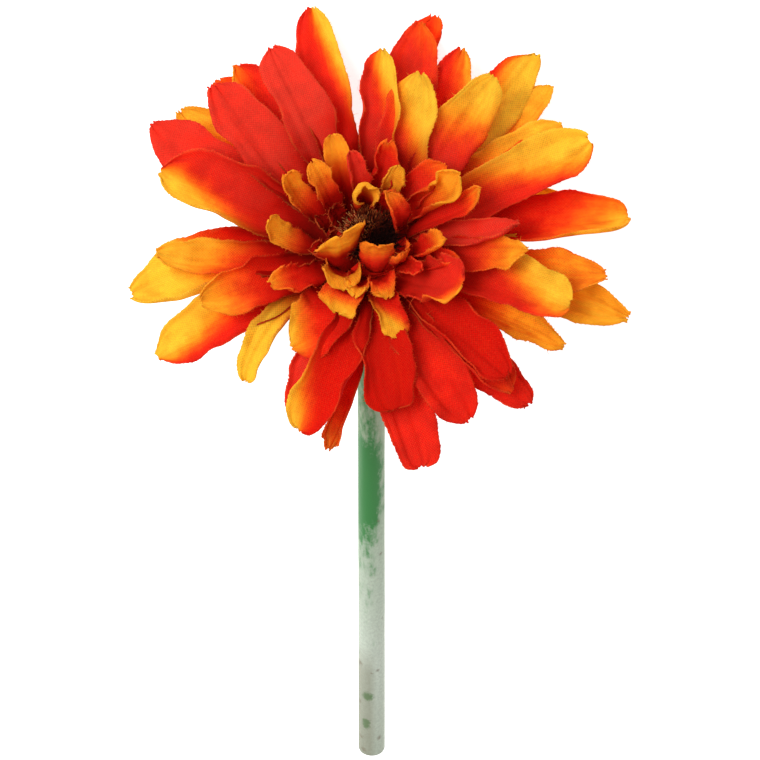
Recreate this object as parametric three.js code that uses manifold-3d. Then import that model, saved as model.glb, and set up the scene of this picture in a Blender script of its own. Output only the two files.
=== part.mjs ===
// An artificial gerbera daisy on a short stem, lying on a table as it comes to rest by itself.
//
// Six die-cut fabric layers, three large and three small, are threaded on a wire between a plastic calyx and a
// bristly eye. The wire runs down the bore of a plastic stem and holds the bend of its neck.
// The flower rests on the cut end of its stem and on the tips of the petals at the back of its head.
// Millimetres. +Y runs from the stem's cut end towards the head, +Z is up, and the table is z = 0.
import * as THREE from "three";
import { mergeVertices } from "three/addons/utils/BufferGeometryUtils.js";
import Module from "manifold-3d";

const wasm = await Module();
wasm.setup();

// ---- Driving dimensions ----
const STEM_RADIUS = 3;
const STEM_STRAIGHT = 133; // cut end to the start of the neck
const STEM_RISE = 9.5; // degrees, how far the resting stem leans up from the table
const NECK_BEND = 29.5; // degrees, from the stem's line to the head's axis
const NECK_RADIUS = 20; // of the bend, on the stem's centre line
const BORE_RADIUS = 1.35;
const WIRE_RADIUS = 1;

const FABRIC = 0.6; // thickness of a petal
const HUB_THICKNESS = 0.7; // of the stiffened disc that joins a layer's petals
const HUB_HOLE_RADIUS = 1.35;
const HUB_PITCH = 1.2; // from one layer's hub to the next along the axis
const LAYER_GAP_ON_TABLE = 1; // between the tips of two layers that lie on each other

const CALYX_HEIGHT = 9;
const CALYX_RADIUS = 9;
const EYE_BASE = 6.7; // the eye's underside above the first hub, along the head's axis

// Where the part's origin lies: under the middle of its outline.
const ORIGIN_SHIFT = [-1.8, 35.7, 0];

const rad = THREE.MathUtils.degToRad;
const clamp = THREE.MathUtils.clamp;

// ---- Colours ----
const RED_FABRIC = new THREE.MeshStandardMaterial({ color: 0xdd2412, roughness: 0.75, metalness: 0 });
const ORANGE_FABRIC = new THREE.MeshStandardMaterial({ color: 0xee6a14, roughness: 0.75, metalness: 0 });
const GREEN_PLASTIC = new THREE.MeshStandardMaterial({ color: 0x8fa98a, roughness: 0.6, metalness: 0 });
const CALYX_GREEN = new THREE.MeshStandardMaterial({ color: 0x3f7a42, roughness: 0.55, metalness: 0 });
const BROWN_PILE = new THREE.MeshStandardMaterial({ color: 0x2a1009, roughness: 0.95, metalness: 0 });
const STEEL = new THREE.MeshStandardMaterial({ color: 0x9a9a98, roughness: 0.4, metalness: 1 });

// ---- Joining and cutting ----
// A closed geometry as a manifold-3d solid.
function solidOf(geometry) {
  geometry.deleteAttribute("normal");
  geometry.deleteAttribute("uv");
  const merged = mergeVertices(geometry, 1e-4);
  return new wasm.Manifold(
    new wasm.Mesh({
      numProp: 3,
      vertProperties: merged.attributes.position.array,
      triVerts: new Uint32Array(merged.index.array),
    }),
  );
}

function geometryOf(solid) {
  const mesh = solid.getMesh();
  return new THREE.BufferGeometry()
    .setAttribute("position", new THREE.BufferAttribute(mesh.vertProperties, 3))
    .setIndex(new THREE.BufferAttribute(mesh.triVerts, 1));
}

function namedMesh(name, geometry, material) {
  const mesh = new THREE.Mesh(geometry, material);
  mesh.name = name;
  return mesh;
}

// ---- Lie of the flower on the table ----
// The stem's centre line: straight, then a bend of NECK_BEND degrees. `along` is measured from the cut end.
const stemRise = rad(STEM_RISE);
const headRise = rad(STEM_RISE + NECK_BEND);
const neckLength = NECK_RADIUS * rad(NECK_BEND);
const cutEnd = new THREE.Vector3(0, -STEM_STRAIGHT * Math.cos(stemRise), STEM_RADIUS * Math.cos(stemRise));

function stemLine(along) {
  const straight = Math.min(along, STEM_STRAIGHT);
  const turned = clamp((along - STEM_STRAIGHT) / NECK_RADIUS, 0, rad(NECK_BEND));
  const past = Math.max(along - STEM_STRAIGHT - neckLength, 0);
  const rise = stemRise + turned;
  const y = cutEnd.y + straight * Math.cos(stemRise)
    + NECK_RADIUS * (Math.sin(rise) - Math.sin(stemRise)) + past * Math.cos(headRise);
  const z = cutEnd.z + straight * Math.sin(stemRise)
    + NECK_RADIUS * (Math.cos(stemRise) - Math.cos(rise)) + past * Math.sin(headRise);
  return { point: new THREE.Vector3(0, y, z), rise };
}

// The head's own frame: +Z out of its face along the axis, +Y to the edge that lies on the table, and the origin
// at the first layer's hub.
const hubAlong = STEM_STRAIGHT + neckLength + CALYX_HEIGHT;
const head = new THREE.Group();
head.position.copy(stemLine(hubAlong).point);
head.rotation.x = headRise - Math.PI / 2;
head.updateMatrix();
const tableToHead = head.matrix.clone().invert();

// ---- Stem and wire ----
// A lathed rod or tube whose points are moved so that its axis follows the stem's line from `start`.
function alongStem(profile, sides, start) {
  const geometry = new THREE.LatheGeometry(profile, sides);
  const place = geometry.attributes.position;
  for (let i = 0; i < place.count; i++) {
    const { point, rise } = stemLine(start + place.getY(i));
    const sideways = place.getX(i);
    const over = place.getZ(i);
    place.setXYZ(i, sideways, point.y - over * Math.sin(rise), point.z + over * Math.cos(rise));
  }
  return geometryOf(solidOf(geometry));
}

// Distances along a bent rod at which it needs a ring of points: its ends, its bead and the neck.
function ringsTo(end) {
  const neck = [0, 0.25, 0.5, 0.75, 1].map((share) => STEM_STRAIGHT + share * neckLength);
  return [0, ...neck.filter((along) => along < end - 0.5), end];
}

const STEM_SIDES = 18;
const WIRE_SIDES = 10;
const STEM_IN_CALYX = 3.2;
const WIRE_IN_EYE = 1.5;
const stemTop = hubAlong - CALYX_HEIGHT + STEM_IN_CALYX;
const wireTop = hubAlong + EYE_BASE + WIRE_IN_EYE;

const stemRings = ringsTo(stemTop);
const stemProfile = [
  ...stemRings.map((along) => new THREE.Vector2(STEM_RADIUS, along)),
  ...stemRings.toReversed().map((along) => new THREE.Vector2(BORE_RADIUS, along)),
  new THREE.Vector2(STEM_RADIUS, 0),
];
const wireProfile = [
  new THREE.Vector2(0, 0),
  ...ringsTo(wireTop).map((along) => new THREE.Vector2(WIRE_RADIUS, along)),
  new THREE.Vector2(0, wireTop),
];
const stem = namedMesh("stem", alongStem(stemProfile, STEM_SIDES, 0), GREEN_PLASTIC);
const stemWire = namedMesh("stem_wire", alongStem(wireProfile, WIRE_SIDES, 0), STEEL);

// ---- Calyx ----
// A moulded cup with a socket for the stem below and eight blunt sepals round its rim.
const CALYX_SEPALS = 8;
const SEPAL_REACH = 5;
const SEPAL_DROP = 1.9;
const SEPAL_ROOT_RADIUS = CALYX_RADIUS - 1;
const SOCKET_PLAY = 0.35; // round the stem
const calyxProfile = [
  [HUB_HOLE_RADIUS, -0.7],
  [HUB_HOLE_RADIUS, -5.4],
  [STEM_RADIUS + SOCKET_PLAY, -5.4],
  [STEM_RADIUS + SOCKET_PLAY, -CALYX_HEIGHT],
  [STEM_RADIUS + 1.3, -CALYX_HEIGHT],
  [STEM_RADIUS + 1.9, -6.5],
  [CALYX_RADIUS - 2, -3.6],
  [CALYX_RADIUS, -2.4],
  [CALYX_RADIUS, -1.5],
  [CALYX_RADIUS - 2.2, -0.7],
  [HUB_HOLE_RADIUS, -0.7],
].map(([radius, height]) => new THREE.Vector2(radius, height));

function calyxGeometry() {
  const geometry = new THREE.LatheGeometry(calyxProfile, CALYX_SEPALS * 4);
  const place = geometry.attributes.position;
  for (let i = 0; i < place.count; i++) {
    const x = place.getX(i);
    const y = place.getZ(i);
    const height = place.getY(i);
    const radius = Math.hypot(x, y);
    const sepal = 0.5 + 0.5 * Math.cos(Math.atan2(y, x) * CALYX_SEPALS);
    const rim = clamp((radius - SEPAL_ROOT_RADIUS) / (CALYX_RADIUS - SEPAL_ROOT_RADIUS), 0, 1);
    const grown = radius + rim * SEPAL_REACH * sepal;
    const dropped = height - rim * SEPAL_DROP * sepal;
    // The lathe turns about its own Y, which becomes the head's Z.
    place.setXYZ(i, (-x / radius) * grown, (y / radius) * grown, dropped);
  }
  return geometryOf(solidOf(geometry));
}
const calyx = namedMesh("calyx", calyxGeometry(), CALYX_GREEN);

// ---- Fabric petals ----
// Half the width of a petal at share u of its length, as a share of half its widest width. The tip is a superellipse,
// cut off where it gets narrower than `blunt`.
function outline(u) {
  const widest = 0.6;
  const waist = 0.34;
  const blunt = 0.2;
  const fullness = 2.3;
  const sharpness = 0.62;
  if (u < widest) return waist + (1 - waist) * Math.sin((Math.PI / 2) * (u / widest));
  const toTip = (u - widest) / (1 - widest);
  return Math.max(blunt, (1 - toTip ** fullness) ** sharpness);
}

// A value that runs through three others, given at the root, the middle and the tip.
function through([atRoot, atMiddle, atTip], u) {
  return u < 0.5
    ? THREE.MathUtils.lerp(atRoot, atMiddle, u * 2)
    : THREE.MathUtils.lerp(atMiddle, atTip, u * 2 - 1);
}

// Lifts a point of the head's frame that would sink into the table, or into a layer that lies there.
const SETTLE = 1.2; // mm over which a petal bends to lie flat
function restOnTable(point, lowest) {
  point.applyMatrix4(head.matrix);
  const over = point.z - lowest;
  if (over < SETTLE) point.z = over < -SETTLE ? lowest : lowest + (over + SETTLE) ** 2 / (4 * SETTLE);
  return point.applyMatrix4(tableToHead);
}

// The middle surface of a petal, as a grid of points in the head's frame. The spine leaves the hub at `root`, heads for
// `course` with a sideways bow, and climbs by `lift` degrees. The cross-section is an arc that turns by `cup` degrees
// to each side of the spine and leans by `twist` degrees at the tip.
const SPINE_STEPS = 16;
const FREE_OF_TABLE = 0.3; // share of a petal's length that is held up by its hub
const CUP_AT_ROOT = 0.05; // share of a half turn of the cup's growth that the root starts at
const CUP_GROWTH = 0.86;
function petalGrid(petal, shares, acrossSteps) {
  const heading = (u) => petal.course + rad(petal.bow) * (2 * u - 1);
  const directionAt = (u) => {
    const lift = rad(through(petal.lift, u));
    const level = Math.cos(lift);
    return new THREE.Vector3(level * Math.cos(heading(u)), level * Math.sin(heading(u)), Math.sin(lift));
  };
  const spine = petal.root.clone();
  const rows = [];
  let reached = 0;
  for (const u of shares) {
    while (reached < u * SPINE_STEPS - 1e-9) {
      const step = Math.min(1, u * SPINE_STEPS - reached);
      spine.addScaledVector(directionAt((reached + step / 2) / SPINE_STEPS), (petal.length * step) / SPINE_STEPS);
      reached += step;
    }
    const across = new THREE.Vector3(-Math.sin(heading(u)), Math.cos(heading(u)), 0);
    const normal = new THREE.Vector3().crossVectors(directionAt(u), across);
    const lean = rad(petal.twist) * u;
    const side = across.clone().multiplyScalar(Math.cos(lean)).addScaledVector(normal, Math.sin(lean));
    const up = normal.clone().multiplyScalar(Math.cos(lean)).addScaledVector(across, -Math.sin(lean));
    const half = (petal.width / 2) * outline(u);
    const turn = rad(petal.cup) * Math.sin(Math.PI * (CUP_AT_ROOT + CUP_GROWTH * u));
    const row = [];
    for (let j = 0; j <= acrossSteps; j++) {
      const angle = turn * ((2 * j) / acrossSteps - 1);
      const point = spine
        .clone()
        .addScaledVector(side, (half * Math.sin(angle)) / turn)
        .addScaledVector(up, (half * (1 - Math.cos(angle))) / turn);
      row.push(u > FREE_OF_TABLE ? restOnTable(point, petal.lowest) : point);
    }
    rows.push(row);
  }
  return rows;
}

// A closed blade of the fabric's thickness on a grid of points, split into triangles alike on both faces.
function bladeGeometry(rows) {
  const last = rows.length - 1;
  const width = rows[0].length;
  const positions = [];
  const along = new THREE.Vector3();
  const across = new THREE.Vector3();
  for (const face of [0.5, -0.5]) {
    rows.forEach((row, i) =>
      row.forEach((point, j) => {
        along.subVectors(rows[Math.min(i + 1, last)][j], rows[Math.max(i - 1, 0)][j]);
        across.subVectors(row[Math.min(j + 1, width - 1)], row[Math.max(j - 1, 0)]);
        const normal = along.clone().cross(across).normalize();
        positions.push(...point.clone().addScaledVector(normal, face * FABRIC).toArray());
      }),
    );
  }
  const top = (i, j) => i * width + j;
  const bottom = (i, j) => rows.length * width + i * width + j;
  const triangles = [];
  const wall = (i0, j0, i1, j1) => {
    triangles.push(top(i1, j1), top(i0, j0), bottom(i0, j0));
    triangles.push(top(i1, j1), bottom(i0, j0), bottom(i1, j1));
  };
  for (let i = 0; i < last; i++) {
    for (let j = 0; j < width - 1; j++) {
      triangles.push(top(i, j), top(i + 1, j), top(i + 1, j + 1));
      triangles.push(top(i, j), top(i + 1, j + 1), top(i, j + 1));
      triangles.push(bottom(i, j), bottom(i + 1, j + 1), bottom(i + 1, j));
      triangles.push(bottom(i, j), bottom(i, j + 1), bottom(i + 1, j + 1));
    }
    wall(i, 0, i + 1, 0);
    wall(i + 1, width - 1, i, width - 1);
  }
  for (let j = 0; j < width - 1; j++) {
    wall(0, j + 1, 0, j);
    wall(last, j, last, j + 1);
  }
  return new THREE.BufferGeometry()
    .setAttribute("position", new THREE.BufferAttribute(new Float32Array(positions), 3))
    .setIndex(triangles);
}

// ---- Fabric layers ----
// A layer is one die-cut piece: equal petals at equal spacing round a hub, each then bent by hand. `lift` gives the
// climb of its petals at root, middle and tip in degrees; `tilt` is added to it at the edge of the head that lies on
// the table and taken away at the opposite edge.
// A row of `bends` is one petal, in degrees and mm: the bearing of its tip, the tip's distance from the axis, extra
// lift at the middle, extra lift at the tip, twist, cup, sideways bow, and its width as a share of the layer's.
const OUTER = {
  width: 13.4,
  rootRadius: 7,
  hubRadius: 8.6,
  tilt: [4, 14, 16],
  shares: [0, 0.2, 0.4, 0.6, 0.78, 0.92, 1],
  across: 4,
  material: RED_FABRIC,
};
const INNER = {
  tilt: [6, 8, 8],
  shares: [0, 0.3, 0.58, 0.84, 1],
  across: 3,
  material: ORANGE_FABRIC,
};
const layers = [
  {
    ...OUTER,
    name: "outer_petals_back",
    level: 0,
    phase: 17,
    lift: [-2, -7, -10],
    bends: [
      [17, 44, 0, 8, 0, 35, 0, 1],
      [43, 53, 0, 0, -8, 30, 0, 1],
      [51, 58, -3, -10, 10, 25, 4, 1],
      [76, 59, 1, 0, 0, 50, 0, 0.9],
      [128, 55, -6, -16, -8, 30, -4, 0.9],
      [142, 53, 2, 6, 8, 32, 0, 0.9],
      [187, 52.5, -6, 6, 0, 34, 4, 1.3],
      [203.8, 50.1, 0, -6, -6, 38, 0, 1.06],
      [243, 36, -4, -20, 0, 40, 6, 0.6],
      [283.7, 45.6, 0, -3, 0, 30, 0, 0.85],
      [318, 46, 0, -4, 6, 36, 0, 0.85],
      [336.4, 46, 2, -5, 0, 40, 0, 0.65],
      [348, 57, 2, -4, 0, 34, -3, 0.9],
    ],
  },
  {
    ...OUTER,
    name: "outer_petals_middle",
    level: 1,
    phase: 3,
    lift: [1, 0, -3],
    bends: [
      [7.4, 56, 2, -2, -8.4, 39.6, -4, 1.08],
      [32, 48, 0, 0, 8, 30, 0, 1],
      [66, 48, 0, 4, 0, 45, 4, 0.9],
      [78, 51, 2, 4, -8, 38, 0, 1],
      [104, 56, 2, 2, 0, 52, 0, 0.95],
      [126, 50, 0, 4, 8, 28, 0, 0.9],
      [150, 55, 3, 0, -6, 30, -4, 1],
      [180.3, 46.5, -6, 8, 0, 42, 0, 0.75],
      [225, 38, 0, -12, 0, 35, -8, 0.75],
      [252, 36, -14, -86, 0, 45, -20, 0.4],
      [300, 42, 2, -8, 0, 38, 3, 0.95],
      [315, 43, 3, -4, -6, 36, 0, 0.85],
      [354, 51, 0, 0, 6, 34, 0, 0.9],
    ],
  },
  {
    ...OUTER,
    name: "outer_petals_front",
    level: 2,
    phase: 8,
    lift: [3, 10, 4],
    bends: [
      [24, 52, 0, 4, 10, 32, 0, 1.05],
      [53, 44, 0, 2, 0, 28, 0, 1],
      [74, 37, 4, 14, 0, 35, 0, 1],
      [87, 41, 4, 6, -12, 45, 4, 1],
      [116, 47, 0, -4, 0, 25, 0, 1],
      [135, 48, 0, -4, 6, 24, 0, 1],
      [162, 48, 0, 2, -4, 34, 3, 1.35],
      [200, 39, -4, 8, 0, 36, 0, 0.95],
      [232, 27.7, 2.4, -16.4, -6, 38.8, -18, 1.06],
      [248.3, 41.2, -6, -30, 0, 36, -8, 1],
      [278, 36, 2, -16, 0, 28, 3, 0.95],
      [315, 41, 4, -12, 0, 38, 0, 0.95],
      [345, 45, 2, -6, 0, 32, 0, 1.3],
    ],
  },
  {
    ...INNER,
    name: "inner_petals_low",
    width: 8,
    rootRadius: 8.1,
    hubRadius: 8.4,
    level: 3,
    phase: 0,
    lift: [18, 26, 8],
    bends: [
      [352, 33.5, -18, 36, 0, 45, 0, 1.15],
      [3, 31.2, -14, 40, -24, 40, 12, 1.1],
      [44, 22, 14, 10, 12, 50, 0, 1.1],
      [78, 19, 24, 60, 0, 60, 0, 1.1],
      [112, 22, 24, 20, 0, 55, 0, 0.9],
      [146.6, 22, 2, 60, 0, 50, 0, 0.85],
      [172.3, 22, 4, 60, 0, 50, -30, 0.8],
      [208, 24, -4, 40, 0, 60, -4, 1],
      [245, 16.5, 14, -70, 0, 45, 0, 1.3],
      [288, 22.2, -4, -50, 14, 51, 2.4, 0.98],
      [319, 23, 8, -16, 0, 55, 0, 1.05],
      [342, 20, 14, 20, 0, 60, 0, 0.8],
    ],
  },
  {
    ...INNER,
    name: "inner_petals_middle",
    width: 7,
    rootRadius: 7.7,
    hubRadius: 8.1,
    level: 4,
    phase: 15,
    lift: [42, 48, 30],
    bends: [
      [15.3, 23.8, -30, 54, 0, 50, 0, 0.75],
      [32, 21.8, -5.2, 15.2, 0, 69, 0, 1.24],
      [65, 14, 6, 35, 30, 60, -12, 0.75],
      [105, 17, 6, 6, 0, 55, 0, 0.85],
      [134, 18, 8, 10, 0, 50, 0, 1],
      [160, 12, 0, 20, 0, 45, 0, 0.75],
      [195, 13, 4, 20, 0, 45, 0, 0.75],
      [229.2, 13.9, 10.8, -50, 0, 46, 0, 1.12],
      [256, 14, 14, -40, 0, 50, 0, 1],
      [284, 14, 8, -40, 0, 55, 0, 1],
      [322, 14, 6, 10, 0, 50, 0, 0.8],
      [350, 16, 4, 20, 0, 60, 0, 0.9],
    ],
  },
  {
    ...INNER,
    name: "inner_petals_top",
    standing: true,
    width: 7,
    rootRadius: 7.1,
    hubRadius: 7.6,
    tilt: [0, 0, 0],
    level: 5,
    phase: 10,
    lift: [72, 78, 82],
    bends: [
      [129, 16, 6, -50, 0, 45, 0, 0.85],
      [60, 9, -10, -10, 0, 45, 0, 0.8],
      [105, 13, -6, 40, 0, 120, 0, 1.6],
      [150, 7, -20, -10, 0, 45, 0, 0.75],
      [192, 7, -20, -10, 0, 45, 0, 0.75],
      [214.4, 10.4, 17.6, 23.2, -4, 17, 0, 1.4],
      [270, 11, 38, 20, 0, 35, 0, 1.35],
      [325, 7, -6, -12, 0, 30, 0, 1],
    ],
  },
];

// One petal's course and length follow from where its root and its tip are. In a standing layer the bearing is the
// course itself, and the second value is the length.
function petalsOf(layer) {
  const height = layer.level * HUB_PITCH;
  return layer.bends.map(([bearing, reach, liftMiddle, liftTip, twist, cup, bow, broad], i) => {
    const azimuth = rad(layer.phase + (360 * i) / layer.bends.length);
    const root = new THREE.Vector3(Math.cos(azimuth), Math.sin(azimuth), 0).multiplyScalar(layer.rootRadius);
    const tip = new THREE.Vector3(Math.cos(rad(bearing)), Math.sin(rad(bearing)), 0).multiplyScalar(reach);
    const extra = [0, liftMiddle, liftTip];
    const lift = layer.lift.map((angle, k) => angle + layer.tilt[k] * Math.sin(rad(bearing)) + extra[k]);
    let level = 0;
    for (let k = 0; k < SPINE_STEPS; k++) {
      const u = (k + 0.5) / SPINE_STEPS;
      level += (Math.cos(rad(through(lift, u))) * Math.cos(rad(bow) * (2 * u - 1))) / SPINE_STEPS;
    }
    return {
      root: root.clone().setZ(height),
      course: layer.standing ? rad(bearing) : Math.atan2(tip.y - root.y, tip.x - root.x),
      length: layer.standing ? reach : tip.distanceTo(root) / level,
      lift,
      twist,
      cup,
      bow,
      width: layer.width * broad,
      lowest: FABRIC / 2 + layer.level * LAYER_GAP_ON_TABLE,
    };
  });
}

function layerGeometry(layer) {
  const middle = layer.level * HUB_PITCH;
  const hubProfile = [
    [HUB_HOLE_RADIUS, middle - HUB_THICKNESS / 2],
    [layer.hubRadius, middle - HUB_THICKNESS / 2],
    [layer.hubRadius, middle + HUB_THICKNESS / 2],
    [HUB_HOLE_RADIUS, middle + HUB_THICKNESS / 2],
    [HUB_HOLE_RADIUS, middle - HUB_THICKNESS / 2],
  ].map(([radius, height]) => new THREE.Vector2(radius, height));
  let solid = solidOf(new THREE.LatheGeometry(hubProfile, 20).rotateX(Math.PI / 2));
  for (const petal of petalsOf(layer)) {
    solid = solid.add(solidOf(bladeGeometry(petalGrid(petal, layer.shares, layer.across))));
  }
  return geometryOf(solid);
}
head.add(calyx);
for (const layer of layers) head.add(namedMesh(layer.name, layerGeometry(layer), layer.material));

// ---- Eye ----
// A domed base with a socket for the wire's end, and short stiff bristles set on it in a sunflower's spiral.
const BRISTLES = 40;
const DOME_RADIUS = 5.4;
const DOME_HEIGHT = 3.1;
const SOCKET_DEPTH = 1.9; // of the wire's blind hole
const BRISTLE_LENGTH = 2.1;
const BRISTLE_SUNK = 0.55; // of its length, in the dome
const BRISTLE_TIP_RADIUS = 0.36;
const BRISTLE_ROOT_RADIUS = 0.62;
const GOLDEN_ANGLE = rad(137.508);

function domeHeight(radius) {
  const rim = 0.9;
  return EYE_BASE + rim + (DOME_HEIGHT - rim) * Math.sqrt(Math.max(0, 1 - (radius / (DOME_RADIUS + 0.2)) ** 2));
}

function eyeGeometry() {
  const profile = [
    [HUB_HOLE_RADIUS, EYE_BASE],
    [DOME_RADIUS, EYE_BASE],
    [DOME_RADIUS, domeHeight(DOME_RADIUS)],
    [4, domeHeight(4)],
    [2.2, domeHeight(2.2)],
    [0, domeHeight(0)],
    [0, EYE_BASE + SOCKET_DEPTH],
    [HUB_HOLE_RADIUS, EYE_BASE + SOCKET_DEPTH],
    [HUB_HOLE_RADIUS, EYE_BASE],
  ].map(([radius, height]) => new THREE.Vector2(radius, height));
  let solid = solidOf(new THREE.LatheGeometry(profile, 20).rotateX(Math.PI / 2));
  for (let i = 0; i < BRISTLES; i++) {
    const radius = (DOME_RADIUS - 0.35) * Math.sqrt((i + 0.5) / BRISTLES);
    const bearing = i * GOLDEN_ANGLE;
    const outwards = rad(8 + 34 * (radius / DOME_RADIUS));
    const bristle = new THREE.CylinderGeometry(BRISTLE_TIP_RADIUS, BRISTLE_ROOT_RADIUS, BRISTLE_LENGTH, 3);
    bristle.translate(0, BRISTLE_LENGTH / 2 - BRISTLE_SUNK, 0);
    bristle.rotateX(Math.PI / 2);
    bristle.rotateY(outwards);
    bristle.rotateZ(bearing);
    bristle.translate(radius * Math.cos(bearing), radius * Math.sin(bearing), domeHeight(radius));
    solid = solid.add(solidOf(bristle));
  }
  return geometryOf(solid);
}
head.add(namedMesh("eye", eyeGeometry(), BROWN_PILE));

const flower = new THREE.Group();
flower.add(stem, stemWire, head);
flower.position.set(...ORIGIN_SHIFT);
flower.updateMatrixWorld(true);

export default flower;
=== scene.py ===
import math
import random

import bmesh
import bpy
from mathutils import Matrix, Vector, noise


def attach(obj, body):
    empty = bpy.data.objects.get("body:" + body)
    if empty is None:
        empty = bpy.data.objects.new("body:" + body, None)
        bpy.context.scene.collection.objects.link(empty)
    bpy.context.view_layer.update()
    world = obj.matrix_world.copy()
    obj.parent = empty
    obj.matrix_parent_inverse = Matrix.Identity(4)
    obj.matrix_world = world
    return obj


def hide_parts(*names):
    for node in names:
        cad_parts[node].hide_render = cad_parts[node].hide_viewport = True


# An artificial gerbera daisy lying on a table: six layers of dyed cloth petals round a bristly eye, on a
# plastic stem. Named lengths are in millimetres. A mesh is in metres, with +Y from the stem's cut end to
# the head and +Z up.
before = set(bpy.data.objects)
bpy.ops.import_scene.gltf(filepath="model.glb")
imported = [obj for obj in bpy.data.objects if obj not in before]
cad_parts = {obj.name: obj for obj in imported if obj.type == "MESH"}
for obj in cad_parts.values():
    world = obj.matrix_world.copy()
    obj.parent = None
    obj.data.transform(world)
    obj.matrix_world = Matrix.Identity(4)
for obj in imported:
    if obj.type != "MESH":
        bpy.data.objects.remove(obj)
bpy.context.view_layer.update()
MM = 0.001


# ---- Stem ----
# A straight moulded rod of polyethylene, 6 mm across, with a bend at its neck and a bore for the wire. A
# thin chalky coat covers the green plastic, worn through in patches. Its top is pushed into the calyx.
STEM_RADIUS = 3.0
STEM_STRAIGHT = 133.0
STEM_RISE = math.radians(9.5)
NECK_BEND = math.radians(29.5)
NECK_RADIUS = 20.0
BORE_RADIUS = 1.35
CALYX_HEIGHT = 9.0
PUSHED_IN = 3.2
ORIGIN_SHIFT = Vector((-1.8, 35.7, 0.0))
HEAD_RISE = STEM_RISE + NECK_BEND
NECK_LENGTH = NECK_RADIUS * NECK_BEND
HUB_ALONG = STEM_STRAIGHT + NECK_LENGTH + CALYX_HEIGHT
STEM_TOP = HUB_ALONG - CALYX_HEIGHT + PUSHED_IN
STEM_RINGS = 120
STEM_UNEVEN = 0.012  # of its thickness
STEM_THICKER = 0.02  # of its thickness, at the cut end


def linear(hex_colour):
    """An sRGB colour such as "d0301a" as linear red, green, blue and alpha."""
    parts = [int(hex_colour[i : i + 2], 16) / 255 for i in (0, 2, 4)]
    return [c / 12.92 if c <= 0.04045 else ((c + 0.055) / 1.055) ** 2.4 for c in parts] + [1.0]


def add_node(tree, kind, inputs=None, **settings):
    """Adds a node. Each input is a value, or the socket that feeds it."""
    made = tree.nodes.new(kind)
    for name, value in settings.items():
        setattr(made, name, value)
    for name, value in (inputs or {}).items():
        if isinstance(value, bpy.types.NodeSocket):
            tree.links.new(value, made.inputs[name])
        else:
            made.inputs[name].default_value = value
    return made


def new_material(name):
    """A material with an empty node tree, and the tree."""
    made = bpy.data.materials.new(name)
    made.use_nodes = True
    made.node_tree.nodes.clear()
    return made, made.node_tree


def set_ramp(ramp, stops):
    """Gives a colour ramp its stops, each a position and a linear colour."""
    while len(ramp.elements) > 1:
        ramp.elements.remove(ramp.elements[-1])
    ramp.elements[0].position = stops[0][0]
    ramp.elements[0].color = stops[0][1]
    for position, colour in stops[1:]:
        ramp.elements.new(position).color = colour


def stem_line(along):
    """The stem's centre at a distance from its cut end, and how steeply it rises there."""
    straight = min(along, STEM_STRAIGHT)
    rise = STEM_RISE + min(max((along - STEM_STRAIGHT) / NECK_RADIUS, 0), NECK_BEND)
    past = max(along - STEM_STRAIGHT - NECK_LENGTH, 0)
    y = (straight - STEM_STRAIGHT) * math.cos(STEM_RISE)
    y += NECK_RADIUS * (math.sin(rise) - math.sin(STEM_RISE)) + past * math.cos(HEAD_RISE)
    z = STEM_RADIUS * math.cos(STEM_RISE) + straight * math.sin(STEM_RISE)
    z += NECK_RADIUS * (math.cos(STEM_RISE) - math.cos(rise)) + past * math.sin(HEAD_RISE)
    return Vector((0, y, z)) + ORIGIN_SHIFT, rise


def on_stem(across, over, along):
    """A point beside and over the stem's centre line."""
    point, rise = stem_line(along)
    return point + Vector((across, -math.sin(rise) * over, math.cos(rise) * over))


def lathe(profile, steps):
    """A bmesh turned round the Z axis from (radius, height) points."""
    bm = bmesh.new()
    verts = [bm.verts.new((radius, 0, height)) for radius, height in profile]
    edges = [bm.edges.new(pair) for pair in zip(verts, verts[1:])]
    axis = (0, 0, 1)
    bmesh.ops.spin(bm, geom=verts + edges, axis=axis, angle=math.tau, steps=steps, use_merge=True)
    bmesh.ops.remove_doubles(bm, verts=bm.verts, dist=1e-4)
    bmesh.ops.recalc_face_normals(bm, faces=bm.faces)
    return bm


def add_piece(name, bm, material, slot, *nodes):
    """Makes a smooth piece of a bmesh. It rides on the flower and stands for the CAD nodes named."""
    mesh = bpy.data.meshes.new(name)
    bm.to_mesh(mesh)
    bm.free()
    mesh.shade_smooth()
    mesh.materials.append(material)
    piece = bpy.data.objects.new(name, mesh)
    bpy.context.scene.collection.objects.link(piece)
    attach(piece, "root")
    if nodes:
        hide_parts(*nodes)
    return piece


def stem_mesh():
    """The rod, slightly thicker towards its rounded cut end, with the small unevenness of a moulding."""
    rounding = [
        (STEM_RADIUS - 0.7, 0.0),
        (STEM_RADIUS - 0.3, 0.06),
        (STEM_RADIUS - 0.1, 0.2),
        (STEM_RADIUS, 0.5),
    ]
    rings = [STEM_TOP * (i + 1) / STEM_RINGS for i in range(STEM_RINGS)]
    outside = rounding + [(STEM_RADIUS, along) for along in rings]
    inside = [(BORE_RADIUS, along) for along in reversed([0.0] + rings)]
    bm = lathe(outside + inside + outside[:1], 48)
    along_layer = bm.verts.layers.float.new("along")
    for vert in bm.verts:
        across, over, along = vert.co
        vert[along_layer] = along
        if math.hypot(across, over) > BORE_RADIUS + 0.1:
            uneven = noise.noise(Vector((across * 0.5, over * 0.5, along * 0.09)))
            size = 1 + STEM_UNEVEN * uneven + STEM_THICKER * max(0, 1 - along / STEM_STRAIGHT)
            across *= size
            over *= size
        vert.co = on_stem(across, over, along) * MM
        vert.co.z = max(vert.co.z, 0)
    return bm


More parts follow.
